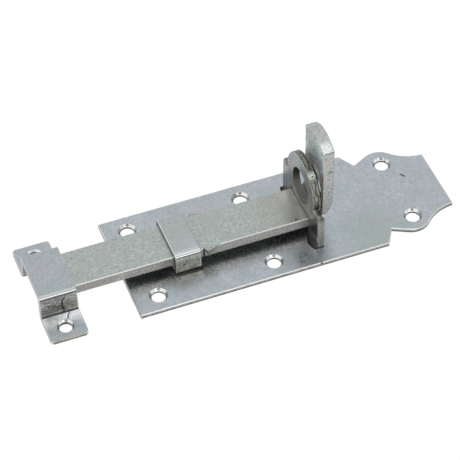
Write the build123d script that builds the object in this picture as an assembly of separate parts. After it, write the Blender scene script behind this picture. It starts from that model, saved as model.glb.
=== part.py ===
from build123d import *
import os
from math import cos, radians, sin, tan

# Padbolt set: a flat bolt that slides on a stamped base plate, and the separate keeper for its nose.
# Sizes are millimetres. +Z points away from the door, +X is the way the bolt is drawn back.
# The origin is the centre of the base plate's four main screws, on its back face.

# Stock
plate_thickness = 1.8
guide_sheet = 1.75
keeper_sheet = 2.0
bracket_thickness = 3.0
bolt_width = 18.6
bolt_thickness = 4.8

# Countersunk screw holes
plate_hole_radius = 2.9
plate_countersink_radius = 3.85
keeper_hole_radius = 2.7
keeper_countersink_radius = 3.4
countersink_angle = 90.0

# Base plate
plate_width = 53.0
plate_edge_break = 0.3
screw_spacing_x = 49.4
screw_spacing_y = 37.6
nose_margin = 10.0
straight_side_length = 106.6
tail_length = 33.4
tail_screw_margin = 18.2
tail_screw_spacing = 31.7

# Ornamental tail outline: a step in, a straight flank, a round lobe and a hollow
tail_step_along = 4.2
tail_step_across = 7.1
flank_length = 7.2
flank_angle = 26.7
lobe_radius = 8.2
waist_angle = 45.9
tail_end_angle = 2.0

# Running clearances
lap_gap = 0.06
slide_clearance = 0.1
guide_side_clearance = 0.5
guide_top_clearance = 0.25
window_side_clearance = 0.6
window_top_clearance = 0.5
sill_clearance = 0.2
keeper_side_clearance = 1.3
keeper_top_clearance = 0.6

# Guide: a strip bent right round the bolt, its ends lapped under it
guide_length = 11.0
guide_from_nose_end = 20.2
guide_outer_bend = 1.6
guide_inner_bend = 0.4
guide_edge_break = 0.25
lap_end_gap = 1.2

# Rivets that hold the lapped ends to the base plate
rivet_radius = 1.5
rivet_head_radius = 2.4
rivet_head_depth = 0.8
rivet_spacing = 9.0
rivet_clearance = 0.03

# Padlock bracket: a fixed upright plate that the bolt passes through
bracket_from_nose_end = 78.2
bracket_width = 37.0
shoulder_height = 19.3
shoulder_round = 1.2
head_radius = 13.9
head_centre_height = 20.8
relief_radius = 0.8
bracket_edge_break = 0.25
eye_radius = 7.9
eye_height = 20.3

# Feet of the bracket, squeezed out into round-backed slots in the base plate
slot_reach = 2.3
slot_back_radius = 9.0
slot_end_gap = 0.5
slot_face_gap = 0.15
toe_gap = 0.45
toe_land = 1.2
toe_height = 3.0
toe_taper = 2.1

# Bolt: its tail end is bent up into a handle with an arched top
handle_gap = 2.7
handle_side_height = 44.2
handle_crown_height = 47.3
arch_step = 0.35
inner_bend_radius = 3.0
outer_bend_radius = 12.0
bolt_edge_break = 0.3
nose_corner_radius = 2.5
nose_inset = 2.2

# Stop lugs swaged out of the bolt's long edges, which meet the bracket when it is drawn back
lug_from_guide = 2.3
lug_length = 5.8
lug_lead = 0.5
lug_flat = 1.2
lug_height = 1.3
lug_top_inset = 0.35
lug_root_depth = 1.6
lug_taper_angle = 16.0

# Keeper: a hat-shaped strap over the bolt's nose
keeper_width = 15.6
keeper_length = 51.8
keeper_centre_from_nose_end = 29.35
keeper_screw_spacing = 40.2
keeper_offset = -0.7
keeper_wall_lean = 3.0
keeper_outer_bend = 1.9
keeper_inner_bend = 0.4
keeper_foot_bend = 0.6
keeper_corner_radius = 1.6
keeper_edge_break = 0.25

# Heights and places that follow
plate_length = straight_side_length + tail_length
plate_nose_x = -screw_spacing_x / 2 - nose_margin
plate_tail_x = plate_nose_x + plate_length
lower_lap_height = plate_thickness + guide_sheet / 2
upper_lap_height = lower_lap_height + guide_sheet + lap_gap
bolt_underside = upper_lap_height + guide_sheet / 2 + slide_clearance
bolt_top = bolt_underside + bolt_thickness
guide_centre_x = plate_nose_x + guide_from_nose_end + guide_length / 2
guide_tail_x = guide_centre_x + guide_length / 2
bracket_x = plate_nose_x + bracket_from_nose_end
bracket_back_x = bracket_x + bracket_thickness
handle_x = bracket_back_x + handle_gap
handle_back_x = handle_x + bolt_thickness
keeper_x = plate_nose_x - keeper_centre_from_nose_end
nose_x = keeper_x - keeper_width / 2 + nose_inset
window_half_width = bolt_width / 2 + window_side_clearance
foot_width = bracket_width / 2 - window_half_width
foot_y = window_half_width + foot_width / 2
slot_centre_x = bracket_x - slot_reach + slot_back_radius


def block(x_range, y_range, z_range):
    """A box between three pairs of limits."""
    size = [high - low for low, high in (x_range, y_range, z_range)]
    middle = [(high + low) / 2 for low, high in (x_range, y_range, z_range)]
    return Pos(*middle) * Box(*size)


def screw_hole(place, sheet, radius, countersink):
    """The cutter for one countersunk screw hole through a sheet that lies on z = 0."""
    hole = CounterSinkHole(
        radius=radius,
        counter_sink_radius=countersink,
        depth=2 * sheet,
        counter_sink_angle=countersink_angle,
    )
    return Pos(*place, sheet) * hole


def bent_strip(corners, width, edge_break):
    """A strip that runs across the bolt: its section's corners as y, z and radius, and its width in x."""
    section = make_face(Polyline(*[(y, z) for y, z, radius in corners], close=True))
    for y, z, radius in corners:
        if radius:
            section = fillet(section.vertices().sort_by_distance((y, z))[0], radius)
    strip = extrude(Plane.YZ * section, width / 2, both=True)
    sides = strip.faces().sort_by(Axis.X)
    return chamfer(sides[0].edges() + sides[-1].edges(), edge_break)


def tail_side():
    """One side of the plate's ornamental tail, from the straight side to the tail end."""
    corner = Vector(plate_nose_x + straight_side_length, plate_width / 2)
    notch = corner + Vector(tail_step_along, -tail_step_across)
    flank_run = Vector(cos(radians(flank_angle)), sin(radians(flank_angle))) * flank_length
    step = Line(corner, notch)
    flank = Line(notch, notch + flank_run)
    lobe = JernArc(flank @ 1, flank % 1, lobe_radius, -(flank_angle + waist_angle))
    hollow_run = plate_tail_x - (lobe @ 1).X
    hollow_radius = hollow_run / (sin(radians(waist_angle)) - sin(radians(tail_end_angle)))
    hollow = JernArc(lobe @ 1, lobe % 1, hollow_radius, waist_angle - tail_end_angle)
    return Curve() + [step, flank, lobe, hollow]


def bracket_slot(side):
    """The cutter for one round-backed slot that a foot of the bracket stands in."""
    back = Pos(slot_centre_x, side * foot_y) * Circle(slot_back_radius)
    low_x = bracket_x - slot_reach - slot_end_gap
    high_x = bracket_back_x + slot_face_gap
    length = foot_width + 2 * slot_end_gap
    limit = Pos((low_x + high_x) / 2, side * foot_y) * Rectangle(high_x - low_x, length)
    return extrude(back & limit, plate_thickness)


def rivet_places():
    """The two rivet centres, front and back."""
    return {
        "guide_rivet_front": (guide_centre_x, -rivet_spacing / 2),
        "guide_rivet_back": (guide_centre_x, rivet_spacing / 2),
    }


def rivet_body(clearance):
    """A rivet with a flush head at each end, or its hole when it is given a clearance."""
    top = upper_lap_height + guide_sheet / 2
    shank_radius = rivet_radius + clearance
    head_radius = rivet_head_radius + clearance
    half = [(0, 0), (head_radius, 0), (shank_radius, rivet_head_depth)]
    half += [(shank_radius, top - rivet_head_depth), (head_radius, top), (0, top)]
    section = Plane.XZ * make_face(Polyline(*half, close=True))
    return revolve(section, Axis.Z)


def base_plate():
    """The stamped plate with six screw holes, two slots and two rivet holes."""
    side = tail_side()
    front_side = mirror(side, Plane.XZ)
    nose_corner = Vector(plate_nose_x, plate_width / 2)
    nose_front = Vector(plate_nose_x, -plate_width / 2)
    start = Vector(plate_nose_x + straight_side_length, plate_width / 2)
    front_start = Vector(start.X, -start.Y)
    straight = Polyline(start, nose_corner, nose_front, front_start)
    tail_corner = side.vertices().sort_by(Axis.X)[-1].center()
    tail_end = Line(tail_corner, Vector(tail_corner.X, -tail_corner.Y))
    outline = Curve() + [side, front_side, straight, tail_end]
    plate = extrude(make_face(outline.edges()), plate_thickness)
    plate = chamfer(plate.faces().sort_by(Axis.Z)[-1].edges(), plate_edge_break)
    half_x = screw_spacing_x / 2
    half_y = screw_spacing_y / 2
    places = [(x, y) for x in (-half_x, half_x) for y in (-half_y, half_y)]
    places += [(plate_tail_x - tail_screw_margin, side * tail_screw_spacing / 2) for side in (-1, 1)]
    for place in places:
        plate -= screw_hole(place, plate_thickness, plate_hole_radius, plate_countersink_radius)
    for foot_side in (-1, 1):
        plate -= bracket_slot(foot_side)
    for x, y in rivet_places().values():
        plate -= Pos(x, y) * rivet_body(rivet_clearance)
    return plate


def guide_loop():
    """A strip bent round the bolt: the back end laps over the front end, under the bolt."""
    inner_y = bolt_width / 2 + guide_side_clearance
    outer_y = inner_y + guide_sheet
    inner_top = bolt_top + guide_top_clearance
    outer_top = inner_top + guide_sheet
    lower_floor = plate_thickness + guide_sheet
    upper_floor = lower_floor + lap_gap
    upper_end_y = lap_end_gap - inner_y
    corners = [
        (inner_y, plate_thickness, 0),
        (-outer_y, plate_thickness, guide_outer_bend),
        (-outer_y, outer_top, guide_outer_bend),
        (outer_y, outer_top, guide_outer_bend),
        (outer_y, upper_floor, guide_outer_bend),
        (upper_end_y, upper_floor, 0),
        (upper_end_y, upper_floor + guide_sheet, 0),
        (inner_y, upper_floor + guide_sheet, guide_inner_bend),
        (inner_y, inner_top, guide_inner_bend),
        (-inner_y, inner_top, guide_inner_bend),
        (-inner_y, lower_floor, guide_inner_bend),
        (inner_y, lower_floor, 0),
    ]
    loop = Pos(guide_centre_x) * bent_strip(corners, guide_length, guide_edge_break)
    for x, y in rivet_places().values():
        loop -= Pos(x, y) * rivet_body(rivet_clearance)
    return loop


def bracket_foot(side):
    """The squeezed-out toe of one foot, which fills its slot but for a narrow gap."""
    radius = slot_back_radius - toe_gap
    land = Cylinder(radius, toe_land, align=(Align.CENTER, Align.CENTER, Align.MIN))
    slope = Cone(radius, radius - toe_taper, toe_height, align=(Align.CENTER, Align.CENTER, Align.MIN))
    whole = Pos(slot_centre_x, side * foot_y) * (land + Pos(0, 0, toe_land) * slope)
    x_range = (bracket_x - slot_reach, bracket_x + bracket_thickness / 2)
    y_range = (side * foot_y - foot_width / 2, side * foot_y + foot_width / 2)
    return whole & block(x_range, y_range, (0, toe_land + toe_height))


def padlock_bracket():
    """The upright plate: a window for the bolt, a round head with the padlock eye, and two feet."""
    half = bracket_width / 2
    middle = (plate_thickness + shoulder_height) / 2
    body = Pos(0, middle) * Rectangle(bracket_width, shoulder_height - plate_thickness)
    corners = body.vertices().filter_by(lambda point: point.Y > middle)
    body = fillet(corners, shoulder_round)
    neck_height = head_centre_height - middle
    neck = Pos(0, middle + neck_height / 2) * Rectangle(2 * head_radius, neck_height)
    face = body + neck + Pos(0, head_centre_height) * Circle(head_radius)
    for side in (-1, 1):
        face -= Pos(side * (head_radius + relief_radius / 2), shoulder_height) * Circle(relief_radius)
    for side in (-1, 1):
        face += Pos(side * foot_y, plate_thickness / 2) * Rectangle(foot_width, plate_thickness)
    sill_top = bolt_underside - sill_clearance
    window_top = bolt_top + window_top_clearance
    window = Rectangle(2 * window_half_width, window_top - sill_top)
    face -= Pos(0, (sill_top + window_top) / 2) * window
    face -= Pos(0, eye_height) * Circle(eye_radius)
    plate = extrude(Plane.YZ.offset(bracket_x) * face, bracket_thickness)
    rim = plate.faces().sort_by(Axis.X)[0].outer_wire().edges()
    plate = chamfer(rim.filter_by(lambda edge: edge.center().Z > plate_thickness), bracket_edge_break)
    for side in (-1, 1):
        plate += bracket_foot(side)
    return plate


def stop_lug(side):
    """One low wedge on a long edge of the bolt, steep towards the guide and fading out downwards."""
    edge = bolt_width / 2
    root = edge - lug_root_depth
    start = guide_tail_x + lug_from_guide
    plan = [(start, root), (start, edge), (start + lug_lead, edge + lug_height)]
    plan += [(start + lug_lead + lug_flat, edge + lug_height), (start + lug_length, edge)]
    plan += [(start + lug_length, root)]
    height = bolt_thickness - lug_top_inset
    face = make_face(Polyline(*[(x, side * y) for x, y in plan], close=True))
    return Pos(0, 0, bolt_top - lug_top_inset) * extrude(face, height, dir=(0, 0, -1), taper=lug_taper_angle)


def bolt():
    """The flat bar, bent up at its tail into a handle with a padlock hole, with two stop lugs."""
    outer = (handle_back_x, bolt_underside)
    inner = (handle_x, bolt_top)
    side_view = [(nose_x, bolt_underside), outer, (handle_back_x, handle_crown_height)]
    side_view += [(handle_x, handle_crown_height), inner, (nose_x, bolt_top)]
    profile = make_face(Polyline(*side_view, close=True))
    for corner, radius in ((outer, outer_bend_radius), (inner, inner_bend_radius)):
        nearest = profile.vertices().sort_by_distance(corner)[0]
        profile = fillet(nearest, radius)
    bar = extrude(Plane.XZ * profile, bolt_width / 2, both=True)
    nose_corners = bar.edges().filter_by(Axis.Z).filter_by(lambda edge: edge.center().X < keeper_x)
    bar = fillet(nose_corners, nose_corner_radius)
    sides = bar.faces().sort_by(Axis.Y)
    bar = chamfer(sides[0].edges() + sides[-1].edges(), bolt_edge_break)
    spring = bolt_width / 2 - arch_step
    crown = (0, handle_crown_height)
    arc = ThreePointArc((-spring, handle_side_height), crown, (spring, handle_side_height))
    arch = make_face([arc, Line(arc @ 1, arc @ 0)])
    above = Rectangle(2 * bolt_width, 2 * (handle_crown_height - handle_side_height))
    waste = Pos(0, handle_crown_height) * above - arch
    bar -= extrude(Plane.YZ.offset(handle_x - bolt_thickness) * waste, 3 * bolt_thickness)
    hole = Pos((handle_x + handle_back_x) / 2, 0, eye_height) * Rot(0, 90, 0)
    bar -= hole * Cylinder(eye_radius, 2 * bolt_thickness)
    for side in (-1, 1):
        bar += stop_lug(side)
    return bar


def keeper():
    """The separate strap: a bridge over the nose, leaning walls and two flanges with a screw hole each."""
    inner_y = bolt_width / 2 + keeper_side_clearance
    inner_top = bolt_top + keeper_top_clearance
    outer_top = inner_top + keeper_sheet
    slope = tan(radians(keeper_wall_lean))
    wall_across = keeper_sheet / cos(radians(keeper_wall_lean))
    outer_y = inner_y + wall_across - keeper_sheet * slope
    outer_foot_y = outer_y + inner_top * slope
    inner_foot_y = inner_y + inner_top * slope
    end_y = keeper_length / 2
    underside_bend = keeper_foot_bend + keeper_sheet
    half = [
        (end_y, 0, 0),
        (end_y, keeper_sheet, 0),
        (outer_foot_y, keeper_sheet, keeper_foot_bend),
        (outer_y, outer_top, keeper_outer_bend),
    ]
    under_half = [(-inner_foot_y, 0, underside_bend), (-inner_y, inner_top, keeper_inner_bend)]
    mirrored_half = [(-y, z, radius) for y, z, radius in reversed(half)]
    mirrored_under_half = [(-y, z, radius) for y, z, radius in reversed(under_half)]
    corners = half + mirrored_half + under_half + mirrored_under_half
    strap = bent_strip(corners, keeper_width, keeper_edge_break)
    plan = RectangleRounded(keeper_width, keeper_length, keeper_corner_radius)
    strap = strap & extrude(plan, outer_top)
    for side in (-1, 1):
        place = (0, side * keeper_screw_spacing / 2)
        strap -= screw_hole(place, keeper_sheet, keeper_hole_radius, keeper_countersink_radius)
    return Pos(keeper_x, keeper_offset) * strap


def main():
    """Write one STEP file for each piece."""
    pieces = {
        "base_plate": base_plate(),
        "guide_loop": guide_loop(),
        "padlock_bracket": padlock_bracket(),
        "bolt": bolt(),
        "keeper": keeper(),
    }
    for name, (x, y) in rivet_places().items():
        pieces[name] = Pos(x, y) * rivet_body(0)
    os.makedirs("parts", exist_ok=True)
    for name, piece in pieces.items():
        export_step(piece, f"parts/{name}.step")
        print(name, "volume", round(piece.volume, 1))


main()
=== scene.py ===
import math
import bpy
from mathutils import Matrix, Vector

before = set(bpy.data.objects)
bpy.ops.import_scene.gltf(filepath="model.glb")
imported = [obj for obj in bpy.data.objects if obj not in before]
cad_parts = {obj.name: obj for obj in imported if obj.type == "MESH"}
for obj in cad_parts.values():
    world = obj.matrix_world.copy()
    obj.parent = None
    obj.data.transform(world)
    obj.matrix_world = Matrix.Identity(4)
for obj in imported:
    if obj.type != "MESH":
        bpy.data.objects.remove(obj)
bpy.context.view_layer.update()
print("frame loaded, nodes:", len(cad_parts))

# the photograph's viewpoint in the model's frame, metres and degrees
cameraSet = {
    "aim": (0.015017, 0.005394, 0.0),
    "turn": 20.636,       # to the right of straight along +Y
    "down": 46.885,       # below the horizon
    "roll": -0.658,
    "distance": 0.895109,
    "sensor": 36.0,
    "lens": 171.5,
    "clipStart": 0.01,
}


def makeCamera(sets):
    turn, down, roll = (math.radians(sets[key]) for key in ("turn", "down", "roll"))
    flat = math.cos(down)
    forward = Vector((math.sin(turn) * flat, math.cos(turn) * flat, -math.sin(down)))
    level = Vector((math.cos(turn), -math.sin(turn), 0.0))
    above = level.cross(forward)
    right = level * math.cos(roll) + above * math.sin(roll)
    top = above * math.cos(roll) - level * math.sin(roll)
    data = bpy.data.cameras.new("photoCamera")
    data.sensor_width = sets["sensor"]
    data.lens = sets["lens"]
    data.clip_start = sets["clipStart"]
    camera = bpy.data.objects.new("photoCamera", data)
    place = Vector(sets["aim"]) - forward * sets["distance"]
    turned = Matrix((right, top, -forward)).transposed().to_4x4()
    camera.matrix_world = Matrix.Translation(place) @ turned
    bpy.context.scene.collection.objects.link(camera)
    bpy.context.scene.camera = camera


makeCamera(cameraSet)
print("camera set")

towardFront = (0.0, -1.0, 0.0)
towardBack = (0.0, 1.0, 0.0)
towardNose = (-1.0, 0.0, 0.0)
towardTail = (1.0, 0.0, 0.0)
upward = (0.0, 0.0, 1.0)
frontAndBack = (towardFront, towardBack)
tailAndNose = (towardTail, towardNose)
flatLean = (0.9, 0.97)      # from how squarely a face looks a way, it counts as that face
sideLean = (0.85, 0.95)     # the same for cut sides, which are a little uneven
eyeHeight = 20.3            # of the padlock eyes' axis, millimetres
mixSockets = {"RGBA": (6, 7, 2), "FLOAT": (2, 3, 0)}    # two values in, the result out


def fill(tree, value, socket):    # a link or a fixed value
    if isinstance(value, bpy.types.NodeSocket):
        tree.links.new(value, socket)
    elif value is not None:
        if isinstance(value, tuple) and socket.type == "RGBA" and len(value) == 3:
            value = value + (1.0,)
        socket.default_value = value


def addNode(tree, kind, *values, **sets):
    made = tree.nodes.new("ShaderNode" + kind)
    for key, value in sets.items():
        setattr(made, key, value)
    for value, socket in zip(values, made.inputs):
        fill(tree, value, socket)
    return made


# a metal finish that is built up in layers; lengths are millimetres on the piece
class Finish:
    grainRough = 0.55
    grainShift = (1.0, 0.7, 1.3)     # how a shift is shared between the axes
    pitShift = (1.0, 0.6, 1.7)
    bumpUnit = 0.001                 # metres in a millimetre of height

    def __init__(self, name, tint, rough):
        self.material = bpy.data.materials.new(name)
        self.material.use_nodes = True
        self.tree = self.material.node_tree
        self.shader = self.tree.nodes["Principled BSDF"]
        self.shader.inputs["Metallic"].default_value = 1.0
        coords = self.node("TexCoord")
        self.place = self.vector("SCALE", coords.outputs["Object"], scale=1000.0)
        self.facing = coords.outputs["Normal"]
        self.axes = self.node("SeparateXYZ", self.place)
        self.tint = tint
        self.rough = rough
        self.height = 0.0

    def node(self, kind, *values, **sets):
        return addNode(self.tree, kind, *values, **sets)

    def put(self, value, socket):
        fill(self.tree, value, socket)

    def calc(self, operation, first, second=0.0, third=0.0):
        return self.node("Math", first, second, third, operation=operation).outputs[0]

    def vector(self, operation, first, second=None, scale=None):
        made = self.node("VectorMath", first, second, operation=operation)
        if scale is not None:
            self.put(scale, made.inputs["Scale"])
        single = operation in ("DOT_PRODUCT", "DISTANCE")
        return made.outputs["Value" if single else "Vector"]

    def mix(self, kind, mask, first, second):
        made = self.node("Mix", mask, data_type=kind)
        firstIn, secondIn, result = mixSockets[kind]
        self.put(first, made.inputs[firstIn])
        self.put(second, made.inputs[secondIn])
        return made.outputs[result]

    def fade(self, value, low, high):    # 0 at low, 1 at high, smooth between
        made = self.node("MapRange", value, low, high, interpolation_type="SMOOTHSTEP")
        return made.outputs[0]

    def both(self, *masks):
        whole = masks[0]
        for mask in masks[1:]:
            whole = self.calc("MULTIPLY", whole, mask)
        return whole

    def either(self, *masks):
        whole = masks[0]
        for mask in masks[1:]:
            whole = self.calc("MAXIMUM", whole, mask)
        return whole

    def invert(self, mask):
        return self.calc("SUBTRACT", 1.0, mask)

    def band(self, value, low, high, soft):    # 1 between low and high
        rise = self.fade(value, low - soft, low + soft)
        return self.both(rise, self.invert(self.fade(value, high - soft, high + soft)))

    def along(self, axis, low, high):    # 1 past high
        return self.fade(self.axes.outputs[axis], low, high)

    def before(self, axis, low, high):    # 1 short of low
        return self.invert(self.along(axis, low, high))

    def slab(self, axis, low, high, soft):
        return self.band(self.axes.outputs[axis], low, high, soft)

    def lean(self, direction):    # how far the surface faces a direction, -1 to 1
        return self.vector("DOT_PRODUCT", self.facing, direction)

    def toward(self, direction, low, high):
        return self.fade(self.lean(direction), low, high)

    def bent(self, direction, low, high, soft):    # turned only partly toward a direction
        return self.band(self.lean(direction), low, high, soft)

    def sides(self, directions, low, high):
        return self.either(*(self.toward(way, low, high) for way in directions))

    def corners(self, directions, low, high, soft):
        return self.either(*(self.bent(way, low, high, soft) for way in directions))

    def eye(self, low, high):    # 1 nearer than low to the padlock eyes' axis
        across = self.vector("MULTIPLY", self.place, (0.0, 1.0, 1.0))
        away = self.vector("DISTANCE", across, (0.0, 0.0, eyeHeight))
        return self.invert(self.fade(away, low, high))

    def mapped(self, shifts, scales, turn=0.0):
        spread = self.node("Mapping", self.place)
        spread.inputs["Location"].default_value = shifts
        spread.inputs["Rotation"].default_value = (0.0, 0.0, turn)
        spread.inputs["Scale"].default_value = scales
        return spread.outputs[0]

    def grain(self, size, stretch=(1.0, 1.0, 1.0), detail=3.0, shift=0.0, turn=0.0):
        shifts = tuple(shift * share for share in self.grainShift)
        scales = tuple(1.0 / (size * part) for part in stretch)
        noise = self.node("TexNoise", self.mapped(shifts, scales, turn))
        noise.inputs["Scale"].default_value = 1.0
        noise.inputs["Detail"].default_value = detail
        noise.inputs["Roughness"].default_value = self.grainRough
        return noise.outputs[0]

    def pits(self, size, reach, shift):
        shifts = tuple(shift * share for share in self.pitShift)
        cells = self.node("TexVoronoi", self.mapped(shifts, (1.0 / size,) * 3))
        cells.inputs["Scale"].default_value = 1.0
        return self.invert(self.fade(cells.outputs["Distance"], reach * 0.5, reach))

    def ragged(self, value, grain, reach):    # value moved to and fro by a grain
        return self.calc("MULTIPLY_ADD", self.calc("SUBTRACT", grain, 0.5), reach, value)

    def spot(self, centre, radius, soft):
        away = self.vector("DISTANCE", self.place, centre)
        return self.invert(self.fade(away, radius - soft, radius + soft))

    def stroke(self, points, width, soft):    # a scratch along a few straight runs
        masks = []
        for start, end in zip(points, points[1:]):
            run = Vector(end) - Vector(start)
            fromStart = self.vector("SUBTRACT", self.place, start)
            share = self.vector("DOT_PRODUCT", fromStart, tuple(run / run.length_squared))
            share = self.calc("MINIMUM", self.calc("MAXIMUM", share, 0.0), 1.0)
            nearest = self.vector("SCALE", tuple(run), scale=share)
            away = self.vector("DISTANCE", fromStart, nearest)
            masks.append(self.invert(self.fade(away, width - soft, width + soft)))
        return self.either(*masks)

    def paint(self, mask, tint, amount=1.0):
        if amount != 1.0:
            mask = self.calc("MULTIPLY", mask, amount)
        self.tint = self.mix("RGBA", mask, self.tint, tint)

    def shade(self, value, amount, mask=None):    # lighter where value is over 0.5, darker under
        swing = self.calc("MULTIPLY_ADD", value, 2.0 * amount, -amount)
        if mask is not None:
            swing = self.both(swing, mask)
        self.tint = self.vector("SCALE", self.tint, scale=self.calc("ADD", swing, 1.0))

    def dull(self, mask, rough):
        self.rough = self.mix("FLOAT", mask, self.rough, rough)

    def lift(self, mask, height):    # height in millimetres
        self.height = self.calc("MULTIPLY_ADD", mask, height, self.height)

    def close(self):
        self.put(self.tint, self.shader.inputs["Base Color"])
        self.put(self.rough, self.shader.inputs["Roughness"])
        bump = self.node("Bump")
        bump.inputs["Strength"].default_value = 1.0
        bump.inputs["Distance"].default_value = self.bumpUnit
        self.put(self.height, bump.inputs["Height"])
        self.put(bump.outputs[0], self.shader.inputs["Normal"])
        return self.material


# what all the plated faces have: fine mottle, soft warm and green patches, short drag marks
skinSet = {
    "fineSize": 0.65,
    "fineSwing": 0.34,
    "middleSize": 1.7,
    "middleSwing": 0.17,
    "patchSize": 7.0,
    "patchSwing": 0.08,
    "warmSpread": 1.2,           # size of the warm patches against the others
    "warmRange": (0.5, 0.68),    # a range is where in a grain the mark fades in
    "warmTint": (0.45, 0.42, 0.42),
    "warmAmount": 0.3,
    "greenRange": (0.48, 0.66),
    "greenTint": (0.36, 0.415, 0.40),
    "greenAmount": 0.4,
    "dragStretch": (14.0, 1.0, 14.0),
    "dragTurn": 0.35,            # radians
    "dragRange": (0.35, 0.75),
    "dragSwing": 0.06,
    "dragLift": 0.3,             # share of the peel
    "dullRange": (0.35, 0.7),
    "dullRough": 0.34,
    "peel": 0.006,               # millimetres high
    "speckTint": (0.12, 0.125, 0.115),
    "speckSpacing": 2.6,
    "speckReach": 0.12,
    "speckRange": (0.45, 0.56),
    "speckAmount": 0.55,
}


def plateSkin(finish, sets):
    patchSize = sets["patchSize"]
    finish.shade(finish.grain(sets["fineSize"], detail=2.0, shift=3.0), sets["fineSwing"])
    finish.shade(finish.grain(sets["middleSize"], shift=19.0), sets["middleSwing"])
    finish.shade(finish.grain(patchSize, detail=2.0, shift=11.0), sets["patchSwing"])
    warm = finish.grain(patchSize * sets["warmSpread"], detail=2.0, shift=29.0)
    finish.paint(finish.fade(warm, *sets["warmRange"]), sets["warmTint"], sets["warmAmount"])
    green = finish.grain(patchSize, detail=2.0, shift=47.0)
    finish.paint(finish.fade(green, *sets["greenRange"]), sets["greenTint"], sets["greenAmount"])
    drag = finish.grain(
        size=0.22, stretch=sets["dragStretch"], detail=2.0, shift=5.0, turn=sets["dragTurn"])
    finish.shade(finish.fade(drag, *sets["dragRange"]), sets["dragSwing"])
    worn = finish.grain(patchSize, shift=71.0)
    finish.dull(finish.fade(worn, *sets["dullRange"]), sets["dullRough"])
    finish.lift(finish.grain(size=0.9, shift=17.0), sets["peel"])
    finish.lift(drag, sets["peel"] * sets["dragLift"])
    specks = finish.pits(sets["speckSpacing"], sets["speckReach"], shift=13.0)
    gathered = finish.fade(finish.grain(size=7.0, shift=9.0), *sets["speckRange"])
    finish.paint(finish.both(specks, gathered), sets["speckTint"], sets["speckAmount"])


# rough sheared edge: a lighter cut band over a dark torn band
edgeSet = {
    "tornRagged": 1.2,           # millimetres that the line between them wanders
    "tornBlotch": (0.55, 0.66),
}


def shearedEdge(finish, mask, sets):
    torn = finish.grain(size=0.5, detail=4.0, shift=31.0)
    level = finish.ragged(finish.axes.outputs["Z"], torn, sets["tornRagged"])
    low = finish.invert(finish.fade(level, *sets["tornLevels"]))
    finish.paint(mask, sets["cutTint"])
    finish.paint(finish.both(mask, low), sets["tornTint"])
    finish.shade(torn, amount=0.5, mask=mask)
    blotch = finish.fade(finish.grain(size=1.6, detail=2.0, shift=57.0), *sets["tornBlotch"])
    finish.paint(finish.both(mask, blotch), sets["tornTint"], amount=0.6)
    finish.dull(mask, rough=0.42)
    finish.lift(finish.both(mask, torn), height=0.05)


# countersinks: the back half carries a painted highlight, the sides are dull and the front lip
# carries painted shade
holeSet = {
    "holeSoft": 0.05,
    "coneLean": (0.5, 0.88, 0.06),
    "coneTint": (0.33, 0.35, 0.345),
    "coneHighlight": (0.82, 0.85, 0.86),
    "coneShade": (0.08, 0.08, 0.07),
    "brightSide": (-0.35, -0.94, 0.0),    # the way that the half with the painted highlight faces
    "brightLean": (0.22, 0.46),
    "darkSide": (0.35, 0.94, 0.0),
    "darkLean": (0.4, 0.6),
    "chatterRange": (0.56, 0.66),
    # shares of the blots' reach across and back, radius and softness
    "blots": [(0.33, 0.94, 0.7, 0.32), (-0.25, 0.97, 0.2, 0.16)],
    "blotDepth": 0.3,
    "blotTint": (0.11, 0.11, 0.105),
    "boreLeans": ((0.1, 0.3), (-0.3, -0.1)),
    "boreShade": (0.09, 0.075, 0.065),
}


def countersinks(finish, sets):
    top, reach = sets["top"], sets["blotReach"]
    limits = (sets["holeReach"], sets["holeSoft"])
    near = finish.either(*(finish.spot((x, y, top), *limits) for x, y in sets["holes"]))
    cone = finish.both(near, finish.bent(upward, *sets["coneLean"]))
    finish.paint(cone, sets["coneTint"])
    chatter = finish.grain(size=0.5, stretch=(1.0, 1.0, 2.5), shift=53.0)
    # painted highlight on the cones' back half, which faces the front
    bright = finish.both(cone, finish.toward(sets["brightSide"], *sets["brightLean"]))
    finish.paint(bright, sets["coneHighlight"])
    marks = finish.both(bright, finish.fade(chatter, *sets["chatterRange"]))
    finish.paint(marks, sets["coneTint"], amount=0.7)
    # painted shade on the cones' front lip
    dark = finish.both(cone, finish.toward(sets["darkSide"], *sets["darkLean"]))
    finish.paint(dark, sets["coneShade"], amount=0.6)
    finish.dull(cone, rough=0.28)
    blots = []
    for across, back, radius, soft in sets["blots"]:
        for x, y in sets["holes"][:sets["blotted"]]:
            centre = (x + across * reach, y + back * reach, top - sets["blotDepth"])
            blots.append(finish.spot(centre, radius, soft))
    finish.paint(finish.both(cone, finish.either(*blots)), sets["blotTint"], amount=0.85)
    # painted shade inside the holes' bores
    over, under = (finish.toward(upward, *lean) for lean in sets["boreLeans"])
    bore = finish.both(near, finish.invert(over), under)
    finish.paint(bore, sets["boreShade"], amount=0.85)


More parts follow.
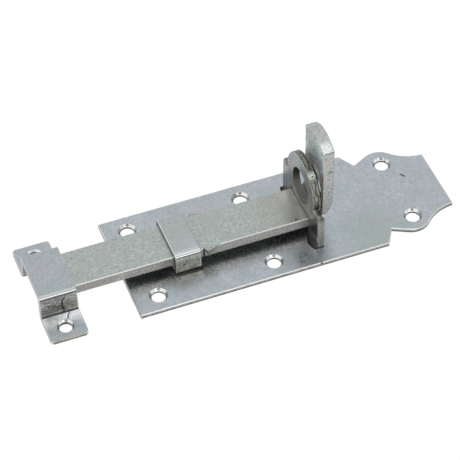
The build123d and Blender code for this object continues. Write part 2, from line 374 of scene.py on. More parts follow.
# in the pieces' dictionaries a spot is centre, radius and softness, a scratch is points, width
# and softness, a zone is axis and limits, and a lean is how far a surface turns
plateSet = {
    **skinSet,
    **edgeSet,
    **holeSet,
    "tint": (0.418, 0.460, 0.497),
    "rough": 0.27,
    "top": 1.8,
    "holes": [
        *((x, y) for x in (-24.7, 24.7) for y in (-18.8, 18.8)),
        *((87.1, y) for y in (-15.85, 15.85)),
    ],
    "holeReach": 3.95,
    "blotReach": 3.45,
    "blotted": 6,                # how many of the holes have blots
    "smudges": [((-0.6, -14.4, 1.8), 2.4), ((35.0, -23.0, 1.8), 1.3), ((37.2, -20.6, 1.8), 2.0)],
    "smudgeSoft": 0.8,
    "smudgeRange": (0.42, 0.6),
    "smudgeTint": (0.12, 0.125, 0.11),
    "stainFront": ("Y", -18.0, -12.0),
    "stainBack": ("Y", 8.5, 10.5),
    "stainLength": ("X", -34.0, 46.0, 2.0),
    "shadeLiftBase": (0.49, 0.49, 0.485),
    "stainSwing": (0.32, 0.68),
    "stainRange": (0.56, 0.68),
    "stainTint": (0.12, 0.12, 0.115),
    "guideFeetShadeZones": (("Y", -12.6, 12.6, 0.5), ("X", -14.9, -3.1, 0.4)),
    "guideFeetShade": (0.08, 0.08, 0.075),
    "greenSpot": ((68.0, -20.0, 1.8), 13.0, 11.0),
    "greenStain": (0.33, 0.38, 0.36),
    "tailSpeck": ([(92.0, 7.4, 1.8), (93.1, 5.8, 1.8)], 0.36, 0.24),
    "tailSpeckTint": (0.06, 0.06, 0.035),
    "tailScratch": ([(93.6, 4.6, 1.8), (94.6, 0.6, 1.8), (95.2, -4.6, 1.8)], 0.2, 0.2),
    "tailScratchTint": (0.28, 0.30, 0.32),
    "tailSmear": ((91.4, 3.6, 1.8), 1.2, 1.0),
    "tailSmearTint": (0.36, 0.34, 0.29),
    "wallLean": (-0.3, 0.3, 0.1),
    "cutTint": (0.38, 0.385, 0.365),
    "tornTint": (0.14, 0.14, 0.12),
    "tornLevels": (0.45, 0.95),
    "cornerLean": (0.5, 0.9, 0.06),
    "edgeWearAndHighlight": (0.66, 0.67, 0.66),
    "frontNick": ((42.3, -26.5, 1.4), 0.55, 0.25),
    "frontNickTint": (0.06, 0.06, 0.05),
}


def plateFinish(sets):
    finish = Finish("zincPlateSheet", sets["tint"], sets["rough"])
    plateSkin(finish, sets)
    top = finish.toward(upward, *flatLean)
    oil = finish.fade(finish.grain(size=1.5, detail=4.0, shift=83.0), *sets["smudgeRange"])
    for centre, radius in sets["smudges"]:
        smudge = finish.both(finish.spot(centre, radius, radius * sets["smudgeSoft"]), oil)
        finish.paint(smudge, sets["smudgeTint"], amount=0.62)
    # dull speckled stain on the sheet below and beside the bar, laid over a lighter neutral base
    # that is painted light lifting the shade there
    below = finish.both(top, finish.along(*sets["stainFront"]), finish.slab(*sets["stainLength"]))
    below = finish.both(below, finish.before(*sets["stainBack"]))
    # painted light: a lighter neutral base under and beside the bar
    finish.paint(below, sets["shadeLiftBase"], amount=0.75)
    stain = finish.grain(size=0.8, shift=97.0)
    finish.shade(finish.fade(stain, *sets["stainSwing"]), amount=0.42, mask=below)
    stained = finish.both(below, finish.fade(stain, *sets["stainRange"]))
    finish.paint(stained, sets["stainTint"], amount=0.3)
    # painted shade round the guide's feet
    feetShade = finish.both(top, *(finish.slab(*zone) for zone in sets["guideFeetShadeZones"]))
    finish.paint(feetShade, sets["guideFeetShade"], amount=0.75)
    finish.paint(finish.spot(*sets["greenSpot"]), sets["greenStain"], amount=0.55)
    finish.paint(finish.stroke(*sets["tailSpeck"]), sets["tailSpeckTint"], amount=0.95)
    finish.paint(finish.stroke(*sets["tailScratch"]), sets["tailScratchTint"], amount=0.3)
    finish.paint(finish.spot(*sets["tailSmear"]), sets["tailSmearTint"], amount=0.4)
    shearedEdge(finish, finish.bent(upward, *sets["wallLean"]), sets)
    # broken edges: edge wear, lightened further as a painted highlight
    finish.paint(finish.bent(upward, *sets["cornerLean"]), sets["edgeWearAndHighlight"], amount=0.9)
    finish.paint(finish.spot(*sets["frontNick"]), sets["frontNickTint"], amount=0.9)
    countersinks(finish, sets)
    return finish.close()


guideSet = {
    **skinSet,
    "tint": (0.385, 0.432, 0.424),
    "rough": 0.27,
    "patchSize": 5.0,
    "paleSpot": ((-5.6, -7.2, 12.26), 4.2, 3.4),
    "paleTint": (0.44, 0.468, 0.505),
    "frontZone": ("Y", -9.7, -7.8),
    "frontHighlight": (0.54, 0.575, 0.605),
    "legLean": (0.9, 0.99),
    "legTint": (0.45, 0.445, 0.37),
    "legTopZone": ("Z", 7.8, 10.2),
    "legTop": (0.84, 0.84, 0.78),
    "legDragStretch": (1.0, 1.0, 7.0),
    "legDarkRange": (0.5, 0.6),
    "legDark": (0.13, 0.13, 0.085),
    "legPaleRange": (0.36, 0.44),
    "legPale": (0.80, 0.80, 0.74),
    "legTailZone": ("X", -4.8, -4.2),
    "legFootZone": ("Z", 2.2, 3.0),
    "legFootShade": (0.05, 0.05, 0.04),
    "bendLean": (0.15, 0.86, 0.08),
    "bendHighlight": (0.66, 0.68, 0.69),
    "bendLineLean": (0.56, 0.72, 0.05),
    "bendLine": (0.25, 0.25, 0.24),
    "bendFootLean": (0.85, 0.985, 0.03),
    "bendFootShade": (0.07, 0.07, 0.06),
    "cutTint": (0.40, 0.40, 0.375),
    "sideNoseZone": ("Z", 9.6, 10.4),
    "sideNose": (0.17, 0.17, 0.155),
    "sideGapZone": ("Z", 10.0, 11.35, 0.3),
    "sideGapShade": (0.06, 0.06, 0.055),
    "cornerLean": (0.5, 0.85, 0.08),
    "noseEdgeWearAndHighlight": (0.74, 0.76, 0.76),
    "noseEdgeZone": ("Z", 9.6, 11.0),
    "tailEdge": (0.24, 0.26, 0.25),
    "legBlot": ((-10.9, -11.55, 6.9), 0.5, 0.25),
    "legBlotTint": (0.04, 0.04, 0.03),
}


def guideFinish(sets):
    finish = Finish("zincGuideStrip", sets["tint"], sets["rough"])
    plateSkin(finish, sets)
    finish.paint(finish.spot(*sets["paleSpot"]), sets["paleTint"], amount=0.7)
    # painted highlight on the top along its front edge
    front = finish.both(finish.toward(upward, *flatLean), finish.before(*sets["frontZone"]))
    finish.paint(front, sets["frontHighlight"], amount=0.8)
    leg = finish.sides(frontAndBack, *sets["legLean"])
    drag = finish.grain(size=0.36, stretch=sets["legDragStretch"], detail=4.0, shift=21.0)
    dark = finish.fade(drag, *sets["legDarkRange"])
    pale = finish.invert(finish.fade(drag, *sets["legPaleRange"]))
    finish.paint(leg, sets["legTint"])
    finish.paint(finish.both(leg, finish.along(*sets["legTopZone"])), sets["legTop"], amount=0.8)
    finish.paint(finish.both(leg, dark), sets["legDark"], amount=0.62)
    finish.paint(finish.both(leg, pale), sets["legPale"], amount=0.4)
    finish.dull(leg, rough=0.4)
    finish.lift(finish.both(leg, drag), height=0.07)
    finish.paint(finish.both(leg, finish.along(*sets["legTailZone"])), sets["legPale"], amount=0.6)
    # painted shade at the legs' feet, where they meet the sheet
    finish.paint(finish.both(leg, finish.before(*sets["legFootZone"])), sets["legFootShade"], amount=0.9)
    # painted highlight on the front bend, a painted darker line within it and painted shade at its
    # foot
    finish.paint(finish.bent(towardFront, *sets["bendLean"]), sets["bendHighlight"])
    finish.paint(finish.bent(towardFront, *sets["bendLineLean"]), sets["bendLine"], amount=0.8)
    finish.paint(finish.bent(towardFront, *sets["bendFootLean"]), sets["bendFootShade"], amount=0.95)
    side = finish.sides(tailAndNose, *sideLean)
    finish.paint(side, sets["cutTint"])
    nose = finish.both(finish.toward(towardNose, *sideLean), finish.before(*sets["sideNoseZone"]))
    finish.paint(nose, sets["sideNose"], amount=0.9)
    # painted shade low on the cut sides, in the gap over the bar
    finish.paint(finish.both(side, finish.slab(*sets["sideGapZone"])), sets["sideGapShade"], amount=0.9)
    finish.dull(side, rough=0.4)
    # broken edge toward the nose: edge wear, lightened further as a painted highlight, and
    # cut-coloured low down
    corner = finish.bent(towardNose, *sets["cornerLean"])
    finish.paint(corner, sets["noseEdgeWearAndHighlight"], amount=0.9)
    low = finish.both(corner, finish.before(*sets["noseEdgeZone"]))
    finish.paint(low, sets["cutTint"], amount=0.8)
    finish.paint(finish.bent(towardTail, *sets["cornerLean"]), sets["tailEdge"], amount=0.9)
    finish.paint(finish.spot(*sets["legBlot"]), sets["legBlotTint"], amount=0.85)
    return finish.close()


bracketSet = {
    **skinSet,
    "tint": (0.258, 0.250, 0.242),
    "rough": 0.30,
    "dullRough": 0.38,
    "fineSize": 0.7,
    "fineSwing": 0.9,
    "middleSwing": 0.45,
    "patchSize": 3.2,
    "patchSwing": 0.25,
    "headZone": ("Z", 22.0, 33.0),
    "headLitTint": (0.226, 0.27, 0.275),
    "headFrontZones": (("Y", -11.5, -5.0), ("Z", 22.0, 28.0)),
    "headFrontShade": (0.17, 0.172, 0.165),
    "nearLegZone": ("Y", -10.5, -9.0),
    "legDarkZone": ("Z", 12.0, 21.5, 1.2),
    "legDark": (0.18, 0.178, 0.168),
    "footZone": ("Z", 5.5, 9.0),
    "legFootLit": (0.70, 0.69, 0.65),
    "lowFaceZones": (("Z", 13.0, 19.0), ("Y", -6.0, 3.0), ("Z", 9.5, 10.5)),
    "lowFaceShade": (0.19, 0.186, 0.18),
    "back": 46.5,                # the bracket's face toward the tail
    "rimLean": (-0.3, 0.3, 0.12),
    "rimTint": (0.187, 0.187, 0.168),
    "rimWander": (1.6, 2.4),     # millimetres, by the fine and the coarse grain
    "rimPaleRange": (0.5, 0.62),
    "rimPale": (0.30, 0.30, 0.285),
    "legRimZone": ("Z", 15.0, 18.0),
    "legPale": (0.40, 0.40, 0.36),
    "headRimZone": ("Z", 16.0, 19.0),
    "headRimShares": (0.75, 0.25),
    "oliveDepth": (0.45, 1.45, 0.2),
    "oliveTint": (0.07, 0.068, 0.048),
    "lineDepth": (2.45, 3.4, 0.2),
    "rimLineAndShade": (0.05, 0.05, 0.042),
    "cornerLean": (0.5, 0.88, 0.08),
    "edgeWearAndHighlight": (0.42, 0.43, 0.41),
    "cornerFootZone": ("Z", 4.0, 6.0),
    "rustSpot": ((44.9, -9.4, 33.3), 0.5, 0.35),
    "rustTint": (0.30, 0.17, 0.09),
    "wornSpot": ((45.2, -8.2, 33.6), 2.0, 1.0),
    "wornRange": (0.40, 0.52),
    "wornTint": (0.85, 0.85, 0.82),
    "eyeReach": (8.2, 8.6),
    "eyeBoreShade": (0.115, 0.112, 0.095),
    "eyeLowZone": ("Z", 13.2, 15.8),
    "eyeBottomLit": (0.25, 0.25, 0.24),
    "windowSpot": ((43.5, 10.1, 9.7), 0.75, 0.3),
    "toeZones": (("X", 43.3, 43.5), ("Z", 4.4, 4.8), ("Y", -1.0, 1.0)),
    "toeShade": (0.075, 0.076, 0.072),
    "shoulderSpot": ((44.1, -14.6, 19.1), 0.75, 0.3),
    "burrs": [((43.6, -14.6, 19.2), 0.7, 0.4), ((46.2, -17.6, 19.2), 0.6, 0.4)],
    "burrRange": (0.42, 0.5),
    "shoulderMark": ([(43.5, 17.3, 18.2), (43.5, 15.9, 18.6), (43.5, 15.6, 16.6)], 0.28, 0.16),
}


def bracketFinish(sets):
    finish = Finish("zincBracketPlate", sets["tint"], sets["rough"])
    # painted light and shade on the bracket's face: a slightly lighter, greener head, painted shade
    # on the front of the head, painted shade down the middle of the front leg over a painted
    # lighter foot, and painted shade on the low face over the bar
    finish.paint(finish.along(*sets["headZone"]), sets["headLitTint"])
    front, high = sets["headFrontZones"]
    headFrontShade = finish.both(finish.before(*front), finish.along(*high))
    finish.paint(headFrontShade, sets["headFrontShade"], amount=0.9)
    leg = finish.before(*sets["nearLegZone"])
    finish.paint(finish.both(leg, finish.slab(*sets["legDarkZone"])), sets["legDark"], amount=0.9)
    finish.paint(finish.both(leg, finish.before(*sets["footZone"])), sets["legFootLit"], amount=0.9)
    ceiling, farSide, ground = sets["lowFaceZones"]
    lowFaceShade = finish.both(finish.before(*ceiling), finish.before(*farSide))
    finish.paint(finish.both(lowFaceShade, finish.along(*ground)), sets["lowFaceShade"], amount=0.7)
    plateSkin(finish, sets)
    # the sheared rim: torn grain, pale below, olive and dark lines at set depths from the back
    rim = finish.bent(towardTail, *sets["rimLean"])
    torn = finish.grain(size=0.9, shift=31.0)
    wander = finish.grain(size=3.4, detail=2.0, shift=73.0)
    depth = finish.calc("SUBTRACT", sets["back"], finish.axes.outputs["X"])
    for grain, reach in zip((torn, wander), sets["rimWander"]):
        depth = finish.ragged(depth, grain, reach)
    finish.paint(rim, sets["rimTint"])
    pale = finish.both(rim, finish.fade(wander, *sets["rimPaleRange"]))
    finish.paint(pale, sets["rimPale"], amount=0.8)
    finish.paint(finish.both(rim, finish.before(*sets["legRimZone"])), sets["legPale"], amount=0.7)
    share = finish.calc("MULTIPLY_ADD", finish.along(*sets["headRimZone"]), *sets["headRimShares"])
    headRim = finish.both(rim, share)
    olive = finish.both(headRim, finish.band(depth, *sets["oliveDepth"]))
    finish.paint(olive, sets["oliveTint"], amount=0.85)
    line = finish.both(headRim, finish.band(depth, *sets["lineDepth"]))
    finish.paint(line, sets["rimLineAndShade"], amount=0.8)
    finish.shade(finish.grain(size=0.4, detail=4.0, shift=39.0), amount=0.7, mask=rim)
    finish.dull(rim, rough=0.42)
    finish.lift(finish.both(rim, torn), height=0.08)
    # broken edges: edge wear, lightened further as a painted highlight
    corner = finish.corners(tailAndNose, *sets["cornerLean"])
    finish.paint(corner, sets["edgeWearAndHighlight"], amount=0.6)
    foot = finish.both(corner, finish.before(*sets["cornerFootZone"]))
    finish.paint(foot, sets["rimLineAndShade"], amount=0.9)
    finish.paint(finish.spot(*sets["rustSpot"]), sets["rustTint"], amount=0.7)
    rubbed = finish.fade(finish.grain(size=0.7, shift=61.0), *sets["wornRange"])
    worn = finish.both(finish.spot(*sets["wornSpot"]), rubbed)
    finish.paint(worn, sets["wornTint"], amount=0.85)
    # painted shade in the eye's bore, with painted light on its lower wall, which is lit from above
    eye = finish.both(rim, finish.eye(*sets["eyeReach"]))
    finish.paint(eye, sets["eyeBoreShade"], amount=0.85)
    finish.paint(finish.both(eye, finish.before(*sets["eyeLowZone"])), sets["eyeBottomLit"], amount=0.8)
    # painted shade in the window's corner gap
    finish.paint(finish.spot(*sets["windowSpot"]), sets["rimLineAndShade"], amount=0.85)
    # painted shade on the toe of the front foot
    toe = finish.both(*(finish.before(*zone) for zone in sets["toeZones"]))
    finish.paint(toe, sets["toeShade"])
    finish.dull(toe, rough=0.5)
    finish.paint(finish.spot(*sets["shoulderSpot"]), sets["wornTint"], amount=0.9)
    burr = finish.either(*(finish.spot(*place) for place in sets["burrs"]))
    rough = finish.fade(finish.grain(size=0.45, shift=67.0), *sets["burrRange"])
    finish.paint(finish.both(burr, rough), sets["wornTint"], amount=0.9)
    finish.paint(finish.stroke(*sets["shoulderMark"]), sets["rimLineAndShade"], amount=0.85)
    return finish.close()


boltSet = {
    **skinSet,
    "tint": (0.398, 0.443, 0.425),
    "rough": 0.27,
    "patchSize": 9.0,
    "fineSwing": 0.5,
    "middleSwing": 0.3,
    "speckSpacing": 2.1,
    "speckReach": 0.17,
    "speckAmount": 0.6,
    "warmTint": (0.45, 0.42, 0.41),
    "warmAmount": 0.35,
    "handleZones": (("X", 47.5, 49.0), ("Z", 10.5, 14.0)),
    "faceLean": (0.5, 0.9),
    "faceLow": (0.94, 0.93, 0.90),
    "faceTopZone": ("Z", 27.0, 40.0),
    "faceTop": (0.46, 0.52, 0.52),
    "faceCornerZones": (("Z", 35.0, 42.0), ("Y", -7.0, 2.0)),
    "faceCorner": (0.60, 0.66, 0.66),
    "faceShadeBandZones": (("Z", 19.0, 31.0, 4.0), ("Y", -8.0, 0.0)),
    "faceShadeZones": (("Z", 27.0, 34.0), ("Y", -7.0, -3.5)),
    "faceShadeSpot": ((49.2, 3.2, 29.5), 3.4, 2.6),
    "faceShadeTint": (0.27, 0.27, 0.265),
    "grimeZone": ("X", 14.0, 40.0),
    "grimeLean": (0.8, 0.95),
    "grimeTint": (0.35, 0.35, 0.335),
    "bracketShadowLiftZone": ("X", 35.0, 42.0),
    "bracketShadowLift": (0.58, 0.58, 0.56),
    "sideTint": (0.49, 0.48, 0.46),
    "sideNoseZone": ("X", -41.0, -36.0),
    "sideNose": (0.325, 0.322, 0.312),
    "sideGuideZone": ("X", -19.5, -14.0, 3.0),
    "sideByGuide": (0.33, 0.335, 0.295),
    "sideLugZone": ("X", -0.8, 4.4, 0.4),
    "lugSide": (0.415, 0.425, 0.37),
    "handleSide": (0.475, 0.472, 0.455),
    "streakStretch": (1.0, 1.0, 2.0),
    "streakSwing": 0.9,
    "cornerLean": (0.5, 0.85, 0.07),
    "barZone": ("Z", 10.6, 12.0),
    "edgeWearAndHighlight": (0.58, 0.59, 0.57),
    "barNick": ((38.6, -7.7, 10.26), 0.42, 0.25),
    "barNickTint": (0.05, 0.05, 0.05),
    "crownZone": ("Z", 43.9, 44.2),
    "crownLean": (0.15, 0.4),
    "crownTint": (0.435, 0.46, 0.45),
    "archLeftZone": ("Y", 0.0, 6.0),
    "archLeft": (0.35, 0.37, 0.365),
    "archLineZone": ("Z", 43.5, 44.2),
    "archLineLean": (0.45, 0.85, 0.08),
    "archLine": (0.28, 0.30, 0.29),
    "crownWornZones": (("Y", -9.8, -5.4, 1.2), ("X", 49.0, 53.4, 0.6)),
    "crownWornRange": (0.33, 0.45),
    "crownWearAndGlint": (0.86, 0.865, 0.86),
    "crownSeam": ([(50.0, -9.25, 44.25), (54.0, -9.25, 44.25)], 0.22, 0.15),
    "seamTint": (0.05, 0.05, 0.045),
    "lugGroove": ([(-1.65, -9.3, 9.9), (-1.65, -9.3, 5.6)], 0.5, 0.15),
    "lugTopSpot": ((2.0, -9.9, 9.4), 3.4, 0.8),
    "lugTopLean": (0.15, 0.85, 0.08),
    "lugTint": (0.27, 0.28, 0.26),
    "lugFrontSpot": ((-1.0, -9.6, 8.0), 3.2, 0.3),
    "lugFrontLean": (0.35, 0.6),
    "lugBack": (
        [(-1.0, 9.5, 10.26), (-0.7, 10.55, 10.1), (0.5, 10.6, 10.1), (4.6, 9.4, 10.2)], 0.3, 0.2),
    "lugFleckSpot": ((-0.9, 10.2, 10.2), 0.5, 0.3),
    "lugFleck": (0.14, 0.07, 0.065),
    "pits": [
        ((52.6, -9.3, 33.6), 0.85),
        ((50.3, -9.3, 41.2), 0.45),
        ((52.1, -9.3, 21.8), 0.45),
        ((51.8, -9.3, 32.6), 0.4),
    ],
    "pitSoft": 0.6,              # share of the radius
    "pitRange": (0.48, 0.56),
    "eyeReach": (7.95, 8.1),
    "eyeZone": ("X", 49.0, 49.3),
    "eyeBoreShade": (0.03, 0.03, 0.028),
    "eyeShadeReach": (8.4, 9.6),
    "faceEyeShade": (0.16, 0.16, 0.15),
}


def boltFinish(sets):
    finish = Finish("zincFlatBar", sets["tint"], sets["rough"])
    # the handle's face painted with light and shade: a very light ground as painted light, a darker
    # top, a lighter upper corner toward the front, a painted shade band at mid height toward the
    # front, and painted shade low toward the front and in a spot above and behind the eye
    onHandle = finish.both(*(finish.along(*zone) for zone in sets["handleZones"]))
    face = finish.both(onHandle, finish.toward(towardNose, *sets["faceLean"]))
    finish.paint(face, sets["faceLow"])
    finish.paint(finish.both(face, finish.along(*sets["faceTopZone"])), sets["faceTop"])
    high, nearSide = sets["faceCornerZones"]
    corner = finish.both(face, finish.along(*high), finish.before(*nearSide))
    finish.paint(corner, sets["faceCorner"])
    dim, nearSide = sets["faceShadeBandZones"]
    nearFace = finish.both(face, finish.before(*nearSide))
    finish.shade(finish.slab(*dim), amount=-0.2, mask=nearFace)
    deep = finish.both(face, *(finish.before(*zone) for zone in sets["faceShadeZones"]))
    finish.paint(deep, sets["faceShadeTint"], amount=0.9)
    deep = finish.both(face, finish.spot(*sets["faceShadeSpot"]))
    finish.paint(deep, sets["faceShadeTint"], amount=0.6)
    plateSkin(finish, sets)
    finish.dull(face, rough=0.55)
    finish.shade(finish.grain(size=1.1, detail=4.0, shift=91.0), amount=0.8, mask=face)
    # warm grey wear where the bar runs through the bracket, painted lighter next to the bracket as
    # painted light against its shadow
    grime = finish.both(finish.invert(onHandle), finish.along(*sets["grimeZone"]))
    grime = finish.both(grime, finish.toward(upward, *sets["grimeLean"]))
    finish.paint(grime, sets["grimeTint"], amount=0.8)
    # painted light next to the bracket, lifting its shadow on the bar
    end = finish.both(grime, finish.along(*sets["bracketShadowLiftZone"]))
    finish.paint(end, sets["bracketShadowLift"], amount=0.8)
    finish.shade(finish.grain(size=0.7, detail=2.0, shift=27.0), amount=0.3, mask=grime)
    # the bar's sheared sides
    side = finish.sides(frontAndBack, *sideLean)
    finish.paint(side, sets["sideTint"])
    # painted shade on the sides toward the nose, past the end of the sheet
    finish.paint(finish.both(side, finish.before(*sets["sideNoseZone"])), sets["sideNose"])
    # olive tone with painted shade on the side next to the guide
    byGuide = finish.both(side, finish.slab(*sets["sideGuideZone"]))
    finish.paint(byGuide, sets["sideByGuide"], amount=0.9)
    finish.paint(finish.both(side, finish.slab(*sets["sideLugZone"])), sets["lugSide"], amount=0.85)
    finish.paint(finish.both(side, onHandle), sets["handleSide"])
    streak = finish.grain(size=0.55, stretch=sets["streakStretch"], shift=37.0)
    finish.shade(streak, sets["streakSwing"], mask=side)
    finish.dull(side, rough=0.5)
    finish.lift(finish.both(side, streak), height=0.03)
    # broken edges: edge wear, lightened further as a painted highlight
    edges = finish.corners(frontAndBack, *sets["cornerLean"])
    finish.paint(finish.both(edges, finish.before(*sets["barZone"])), sets["edgeWearAndHighlight"], amount=0.9)
    finish.paint(finish.spot(*sets["barNick"]), sets["barNickTint"], amount=0.85)
    # the handle's arched crown
    crown = finish.both(finish.along(*sets["crownZone"]), finish.toward(upward, *sets["crownLean"]))
    finish.paint(crown, sets["crownTint"])
    left = finish.both(crown, finish.along(*sets["archLeftZone"]))
    finish.paint(left, sets["archLeft"], amount=0.9)
    line = finish.bent(towardNose, *sets["archLineLean"])
    line = finish.both(finish.along(*sets["archLineZone"]), line)
    finish.paint(line, sets["archLine"], amount=0.7)
    finish.shade(finish.grain(size=1.0, shift=23.0), amount=0.5, mask=crown)
    # worn patch on the crown, painted near white as a painted highlight too
    worn = finish.both(crown, *(finish.slab(*zone) for zone in sets["crownWornZones"]))
    rubbed = finish.fade(finish.grain(size=0.8, shift=43.0), *sets["crownWornRange"])
    finish.paint(finish.both(worn, rubbed), sets["crownWearAndGlint"], amount=0.9)
    finish.paint(finish.stroke(*sets["crownSeam"]), sets["seamTint"], amount=0.8)
    # the swaged lugs
    finish.paint(finish.stroke(*sets["lugGroove"]), sets["seamTint"], amount=0.95)
    lugTop = finish.both(finish.spot(*sets["lugTopSpot"]), finish.bent(upward, *sets["lugTopLean"]))
    finish.paint(lugTop, sets["lugTint"], amount=0.9)
    lugFront = finish.toward(towardNose, *sets["lugFrontLean"])
    lugFront = finish.both(finish.spot(*sets["lugFrontSpot"]), lugFront)
    finish.paint(lugFront, sets["seamTint"], amount=0.95)
    finish.paint(finish.stroke(*sets["lugBack"]), sets["seamTint"], amount=0.75)
    finish.paint(finish.spot(*sets["lugFleckSpot"]), sets["lugFleck"], amount=0.8)
    speckled = finish.fade(finish.grain(size=0.5, shift=7.0), *sets["pitRange"])
    for centre, radius in sets["pits"]:
        pit = finish.both(finish.spot(centre, radius, radius * sets["pitSoft"]), speckled)
        finish.paint(pit, sets["seamTint"], amount=0.85)
    # painted shade in the handle's eye bore
    eye = finish.both(finish.eye(*sets["eyeReach"]), finish.along(*sets["eyeZone"]))
    finish.paint(eye, sets["eyeBoreShade"])
    # painted shade on the face in a ring round the eye, behind the bracket
    finish.paint(finish.both(face, finish.eye(*sets["eyeShadeReach"])), sets["faceEyeShade"], amount=0.6)
    return finish.close()


keeperSet = {
    **skinSet,
    **edgeSet,
    **holeSet,
    "tint": (0.385, 0.425, 0.460),
    "rough": 0.27,
    "top": 2.0,
    "holes": [(-64.05, -20.8), (-64.05, 19.4)],
    "holeReach": 3.5,
    "blotReach": 3.05,
    "blotted": 1,
    "flangeZones": (("Z", 2.1, 2.6), ("Y", -14.2, -13.6)),
    "flangeFade": ("Y", -23.0, -15.2),
    "flangeLitTint": (0.97, 0.99, 1.0),
    "wallLean": (0.93, 0.99),
    "wallZone": ("Z", 2.0, 2.3),
    "wallGrainStretch": (1.6, 1.0, 0.8),
    "wallGrainWander": 7.0,
    "wallLow": (0.22, 0.216, 0.203),
    "wallHighFrom": (5.0, 11.0),
    "wallHigh": (0.47, 0.465, 0.44),
    "oliveZones": (("X", -62.6, -61.6), ("Z", 2.5, 8.4, 0.8)),
    "wallOlive": (0.25, 0.245, 0.205),
    "wallStretch": (2.2, 1.0, 1.0),
    "wallRange": (0.35, 0.65),
    "wallLineZone": ("Z", 2.75, 3.45, 0.2),
    "wallFootZone": ("Z", 2.55, 2.8),
    "crackAndShadeTint": (0.03, 0.03, 0.028),
    "bendZone": ("Z", 9.0, 10.0),
    # the bend's painted highlight on its round, a painted darker line along it and painted shade at
    # its foot: lean, colour and amount
    "bendLines": [
        ((0.25, 0.85, 0.1), (0.50, 0.51, 0.51), 0.8),
        ((0.60, 0.70, 0.06), (0.27, 0.28, 0.28), 0.3),
        ((0.86, 0.99, 0.03), (0.03, 0.03, 0.028), 0.85),
    ],
    "footZone": ("Z", 2.0, 2.7, 0.1),
    "footLean": (0.15, 0.93, 0.1),
    "endZone": ("Z", 1.9, 2.1),
    "cutTint": (0.42, 0.42, 0.39),
    "tornTint": (0.16, 0.155, 0.12),
    "tornLevels": (0.5, 1.0),
    "cornerLean": (0.5, 0.85, 0.07),
    "edgeWearAndHighlight": (0.60, 0.61, 0.60),
    "lipZone": ("Y", -26.2, -25.6),
    "lipLean": (0.5, 0.88, 0.06),
    "crackWall": (
        [(-61.6, -13.17, 9.7), (-62.8, -13.23, 8.5), (-62.7, -13.37, 5.8),
         (-62.2, -13.47, 3.9), (-62.4, -13.55, 2.6)], 0.42, 0.2),
    "smearStretch": (2.0, 1.0, 1.0),
    "smearRange": (0.40, 0.49),
    "smears": [(((-63.6, -13.4, 5.5), 1.15, 0.5), 0.95), (((-66.2, -13.35, 6.8), 1.8, 1.2), 0.35)],
    "crackFlange": ([(-60.4, -14.3, 2.0), (-61.3, -15.7, 2.0), (-62.0, -17.4, 2.0)], 0.24, 0.15),
}


def keeperFinish(sets):
    finish = Finish("zincKeeperStrip", sets["tint"], sets["rough"])
    # painted light: the flange in front of the wall painted almost white, making up for the dark
    # wall that it mirrors
    flange = finish.both(
        finish.toward(upward, *flatLean), *(finish.before(*zone) for zone in sets["flangeZones"]))
    bright = finish.both(flange, finish.along(*sets["flangeFade"]))
    finish.paint(bright, sets["flangeLitTint"])
    plateSkin(finish, sets)
    finish.dull(bright, rough=0.9)
    # the near wall, paler toward its top along a ragged line
    wall = finish.both(
        finish.toward(towardFront, *sets["wallLean"]), finish.along(*sets["wallZone"]))
    wallGrain = finish.grain(size=1.0, stretch=sets["wallGrainStretch"], detail=4.0, shift=41.0)
    height = finish.ragged(finish.axes.outputs["Z"], wallGrain, sets["wallGrainWander"])
    finish.paint(wall, sets["wallLow"])
    finish.paint(finish.both(wall, finish.fade(height, *sets["wallHighFrom"])), sets["wallHigh"])
    right, low = sets["oliveZones"]
    olive = finish.both(wall, finish.along(*right), finish.slab(*low))
    finish.paint(olive, sets["wallOlive"], amount=0.75)
    mottle = finish.grain(size=0.5, stretch=sets["wallStretch"], shift=95.0)
    finish.shade(finish.fade(mottle, *sets["wallRange"]), amount=0.48, mask=wall)
    line = finish.both(wall, finish.slab(*sets["wallLineZone"]))
    finish.paint(line, sets["wallHigh"], amount=0.7)
    # painted shade in the crease at the wall's foot
    creaseShade = finish.both(wall, finish.before(*sets["wallFootZone"]))
    finish.paint(creaseShade, sets["crackAndShadeTint"], amount=0.9)
    finish.dull(wall, rough=0.36)
    bend = finish.along(*sets["bendZone"])
    for lean, tint, amount in sets["bendLines"]:
        finish.paint(finish.both(bend, finish.bent(towardFront, *lean)), tint, amount)
    # painted shade on the round at the wall's foot
    foot = finish.both(finish.slab(*sets["footZone"]), finish.bent(towardFront, *sets["footLean"]))
    finish.paint(foot, sets["crackAndShadeTint"])
    finish.dull(foot, rough=0.5)
    ends = finish.both(finish.sides(frontAndBack, *flatLean), finish.before(*sets["endZone"]))
    shearedEdge(finish, finish.either(finish.sides(tailAndNose, *sideLean), ends), sets)
    # broken edges and the flange's front lip: edge wear, lightened further as a painted highlight
    broken = finish.corners(tailAndNose, *sets["cornerLean"])
    finish.paint(broken, sets["edgeWearAndHighlight"], amount=0.7)
    lip = finish.both(finish.bent(towardFront, *sets["lipLean"]), finish.before(*sets["lipZone"]))
    finish.paint(lip, sets["edgeWearAndHighlight"])
    # the cracked bend line that runs down the wall and out on the flange
    finish.paint(finish.stroke(*sets["crackWall"]), sets["crackAndShadeTint"], amount=0.95)
    smear = finish.grain(size=0.6, stretch=sets["smearStretch"], shift=87.0)
    smear = finish.fade(smear, *sets["smearRange"])
    for place, amount in sets["smears"]:
        finish.paint(finish.both(finish.spot(*place), smear), sets["crackAndShadeTint"], amount)
    finish.paint(finish.stroke(*sets["crackFlange"]), sets["crackAndShadeTint"], amount=0.75)
    countersinks(finish, sets)
    return finish.close()


rivetSet = {**skinSet, "tint": (0.40, 0.42, 0.43), "rough": 0.3, "patchSize": 2.0}


def rivetFinish(sets):
    finish = Finish("zincRivet", sets["tint"], sets["rough"])
    plateSkin(finish, sets)
    return finish.close()


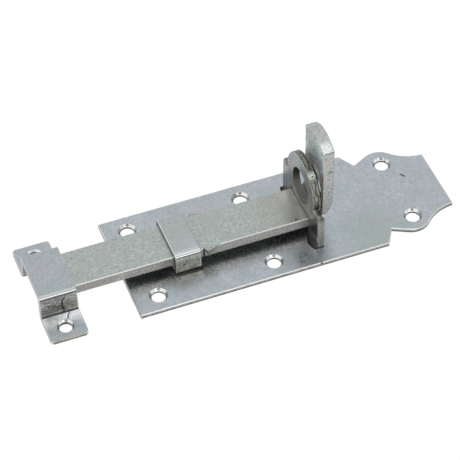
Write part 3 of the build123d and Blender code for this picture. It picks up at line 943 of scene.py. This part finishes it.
rivet = rivetFinish(rivetSet)
finishes = {
    "base_plate": plateFinish(plateSet),
    "guide_loop": guideFinish(guideSet),
    "padlock_bracket": bracketFinish(bracketSet),
    "bolt": boltFinish(boltSet),
    "keeper": keeperFinish(keeperSet),
    "guide_rivet_front": rivet,
    "guide_rivet_back": rivet,
}
for name, material in finishes.items():
    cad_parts[name].material_slots[0].material = material
print("finishes made:", len(finishes))

stageSet = {
    "floorSize": 4.0,
    "floorHeight": -0.0001,
    "paper": (0.88, 0.88, 0.88),
    "white": (1.0, 1.0, 1.0),
    "glow": 0.9,          # share of plain white that the camera and the metal see
    "toeSlots": [(0.0428, -0.0132, -0.0001), (0.0428, 0.0132, -0.0001)],
    "slotReach": (0.005, 0.0065),
    "slotGlow": (0.08, 1.03),    # strength at a slot and away from it, for each of the two
    "worldLevel": 0.62,
    "lamps": {
        "overhead": {"place": (0.0, 0.05, 1.1), "size": (0.55, 0.40), "energy": 0.35},
        "front": {"place": (-0.3, -1.7, 0.75), "size": (1.6, 1.1), "energy": 9.0},
    },
}


def seenDirectly(tree):    # 1 for camera, mirror and glass rays
    path = addNode(tree, "LightPath")
    total = path.outputs["Is Camera Ray"]
    for name in ("Is Glossy Ray", "Is Transmission Ray"):
        total = addNode(tree, "Math", total, path.outputs[name], operation="MAXIMUM").outputs[0]
    return total


def paperMaterial(sets):
    material = bpy.data.materials.new("whitePaper")
    material.use_nodes = True
    tree = material.node_tree
    tree.nodes.remove(tree.nodes["Principled BSDF"])
    # painted shadow on the floor below the sheet, seen through the two toe slots
    coords = addNode(tree, "TexCoord")
    lit = []
    for slot in sets["toeSlots"]:
        away = addNode(tree, "VectorMath", coords.outputs["Object"], slot, operation="DISTANCE")
        limits = (*sets["slotReach"], *sets["slotGlow"])
        lit.append(addNode(tree, "MapRange", away.outputs["Value"], *limits).outputs[0])
    strength = addNode(tree, "Math", *lit, operation="MULTIPLY")
    paper = addNode(tree, "BsdfDiffuse", sets["paper"])
    glow = addNode(tree, "Emission", sets["white"], strength.outputs[0])
    share = addNode(tree, "Math", seenDirectly(tree), sets["glow"], operation="MULTIPLY")
    mix = addNode(tree, "MixShader", share.outputs[0], paper.outputs[0], glow.outputs[0])
    tree.links.new(mix.outputs[0], tree.nodes["Material Output"].inputs["Surface"])
    return material


def makeFloor(sets):
    half = sets["floorSize"] / 2
    around = ((-half, -half), (half, -half), (half, half), (-half, half))
    mesh = bpy.data.meshes.new("floor")
    mesh.from_pydata([(x, y, sets["floorHeight"]) for x, y in around], [], [(0, 1, 2, 3)])
    mesh.materials.append(paperMaterial(sets))
    floor = bpy.data.objects.new("floor", mesh)
    bpy.context.scene.collection.objects.link(floor)


def makeLight(sets):
    for name, lampSet in sets["lamps"].items():
        lamp = bpy.data.lights.new(name, "AREA")
        lamp.shape = "RECTANGLE"
        lamp.size, lamp.size_y = lampSet["size"]
        lamp.energy = lampSet["energy"]
        holder = bpy.data.objects.new(name, lamp)
        holder.location = lampSet["place"]
        holder.rotation_euler = Vector(lampSet["place"]).to_track_quat("Z", "Y").to_euler()
        holder.visible_camera = False
        bpy.context.scene.collection.objects.link(holder)
    world = bpy.data.worlds.new("studio")
    world.use_nodes = True
    tree = world.node_tree
    level = addNode(tree, "MapRange", seenDirectly(tree), 0.0, 1.0, sets["worldLevel"], 1.0)
    background = tree.nodes["Background"]
    fill(tree, sets["white"], background.inputs["Color"])
    fill(tree, level.outputs[0], background.inputs["Strength"])
    bpy.context.scene.world = world


makeFloor(stageSet)
makeLight(stageSet)
bpy.context.scene.view_settings.view_transform = "Standard"
print("stage and lamps set")
